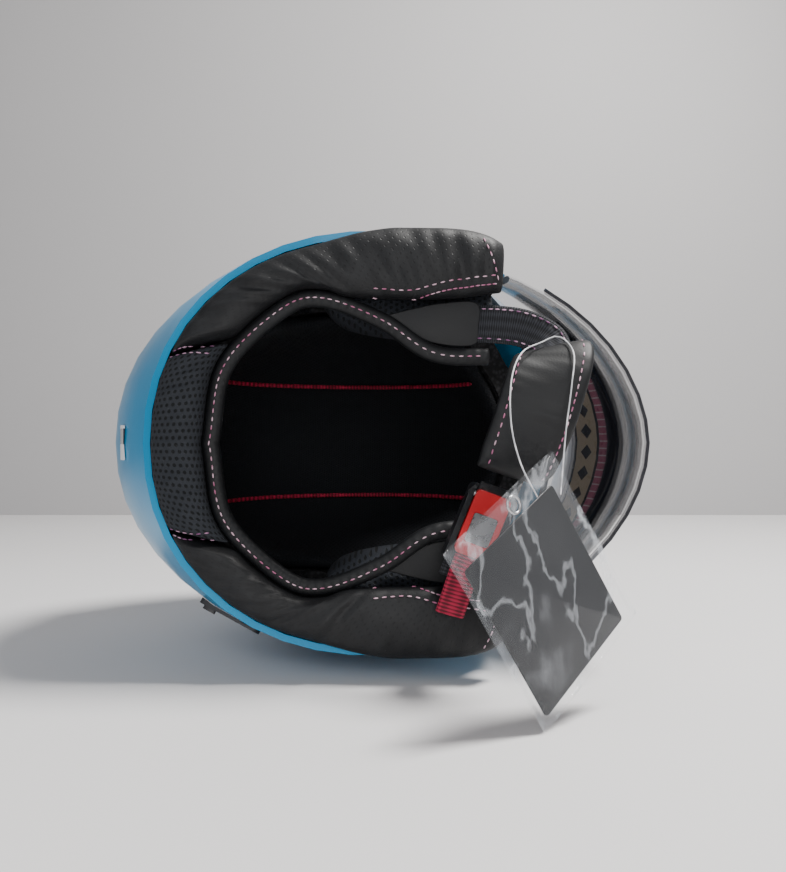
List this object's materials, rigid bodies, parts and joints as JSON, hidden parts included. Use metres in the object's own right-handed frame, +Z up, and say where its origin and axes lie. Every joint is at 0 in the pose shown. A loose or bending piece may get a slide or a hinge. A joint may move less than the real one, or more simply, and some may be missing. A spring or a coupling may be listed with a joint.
{
  "type": "open face motorcycle helmet",
  "caption": "Open face motorcycle helmet lying on its side, with flip-up clear visor, drop-down sun visor, padded liner, chin strap with lever buckle and a hang tag.",
  "frame": {"origin": "bottom centre of the helmet's own bounding box, on the surface it lies on", "axes": "+X towards the front of the helmet, +Y from the neck rim to the crown, +Z up, which is the wearer's right, as the helmet lies on its left side"},
  "size_m": [0.3364, 0.3557, 0.267],
  "materials": {
    "outer_shell": "gloss cyan-blue lacquer",
    "face_edge_trim": "rubber",
    "eps_liner": "matte plastic",
    "crown_liner": "fabric",
    "eps_cheek_left": "matte plastic",
    "eps_cheek_right": "matte plastic",
    "cheek_pad_left": "fabric",
    "cheek_pad_right": "fabric",
    "neck_roll_left": "leather",
    "neck_roll_right": "leather",
    "neck_roll_back": "fabric",
    "opening_binding": "leather",
    "liner_piping_left": "rubber",
    "liner_piping_right": "rubber",
    "pivot_base_left": "matte plastic",
    "pivot_base_right": "matte plastic",
    "pivot_cover_left": "matte plastic",
    "pivot_cover_right": "matte plastic",
    "pivot_screw_left": "brushed steel",
    "pivot_screw_right": "brushed steel",
    "visor": "clear polycarbonate",
    "visor_rim": "glass",
    "visor_strip": "gloss plastic",
    "sun_visor": "glass",
    "rear_label": "matte plastic",
    "rear_vent": "matte plastic",
    "top_vent_base": "matte plastic",
    "top_vent_slider": "matte plastic",
    "slider_plate": "matte plastic",
    "sun_slider": "matte plastic",
    "strap_right": "fabric",
    "strap_left": "fabric",
    "strap_pad": "leather",
    "buckle_body": "matte plastic",
    "buckle_pin": "brushed steel",
    "buckle_lever": "gloss plastic",
    "buckle_plate": "brushed steel",
    "ratchet_strap": "matte plastic",
    "pull_tab": "fabric",
    "strap_anchor_left": "brushed steel",
    "strap_anchor_right": "brushed steel",
    "anchor_rivet_left": "brushed steel",
    "anchor_rivet_right": "brushed steel",
    "tag_pouch": "glass",
    "tag_card": "matte plastic",
    "tag_thread": "gloss plastic"
  },
  "bodies": {
    "helmet": {"outer_shell": "outer_shell", "face_edge_trim": "face_edge_trim", "eps_liner": "eps_liner", "crown_liner": "crown_liner", "eps_cheek_left": "eps_cheek_left", "eps_cheek_right": "eps_cheek_right", "cheek_pad_left": "cheek_pad_left", "cheek_pad_right": "cheek_pad_right", "neck_roll_left": "neck_roll_left", "neck_roll_right": "neck_roll_right", "neck_roll_back": "neck_roll_back", "opening_binding": "opening_binding", "liner_piping_left": "liner_piping_left", "liner_piping_right": "liner_piping_right", "pivot_base_left": "pivot_base_left", "pivot_base_right": "pivot_base_right", "pivot_cover_left": "pivot_cover_left", "pivot_cover_right": "pivot_cover_right", "pivot_screw_left": "pivot_screw_left", "pivot_screw_right": "pivot_screw_right", "rear_label": "rear_label", "rear_vent": "rear_vent", "top_vent_base": "top_vent_base", "slider_plate": "slider_plate", "strap_right": "strap_right", "strap_left": "strap_left", "strap_pad": "strap_pad", "buckle_body": "buckle_body", "buckle_pin": "buckle_pin", "strap_anchor_left": "strap_anchor_left", "strap_anchor_right": "strap_anchor_right", "anchor_rivet_left": "anchor_rivet_left", "anchor_rivet_right": "anchor_rivet_right", "tag_pouch": "tag_pouch", "tag_card": "tag_card", "tag_thread": "tag_thread"},
    "visor_unit": {"visor": "visor", "visor_rim": "visor_rim", "visor_strip": "visor_strip"},
    "sun_lens": {"sun_visor": "sun_visor"},
    "sun_knob": {"sun_slider": "sun_slider"},
    "vent_knob": {"top_vent_slider": "top_vent_slider"},
    "lever": {"buckle_lever": "buckle_lever", "buckle_plate": "buckle_plate", "pull_tab": "pull_tab"},
    "tongue": {"ratchet_strap": "ratchet_strap"}
  },
  "joints": [
    {"name": "visor_hinge", "type": "hinge", "parent": "helmet", "child": "visor_unit", "pos_m": [0.01537, 0.02818, 0.1335], "axis": [0, 0, 1], "range_deg": [0, 62]},
    {"name": "sun_visor_hinge", "type": "hinge", "parent": "helmet", "child": "sun_lens", "pos_m": [0.01537, 0.02818, 0.1335], "axis": [0, 0, -1], "range_deg": [0, 38]},
    {"name": "sun_slide", "type": "slide", "parent": "helmet", "child": "sun_knob", "axis": [0.8754, 0, -0.4834], "range_m": [0, 0.025]},
    {"name": "vent_slide", "type": "slide", "parent": "helmet", "child": "vent_knob", "axis": [-0.8688, 0.4952, 0], "range_m": [0, 0.007]},
    {"name": "lever_hinge", "type": "hinge", "parent": "helmet", "child": "lever", "pos_m": [0.0681, -0.12972, 0.10354], "axis": [-0.9311, -0.0821, 0.3554], "range_deg": [0, 52], "stiffness_Nm_per_rad": 0.015},
    {"name": "tongue_slide", "type": "slide", "parent": "helmet", "child": "tongue", "axis": [-0.3625, 0.1007, -0.9265], "range_m": [0, 0.009]}
  ],
  "couplings": [
    {"joint": "sun_visor_hinge", "follows": "sun_slide", "rad_per_m": 26.5}
  ]
}
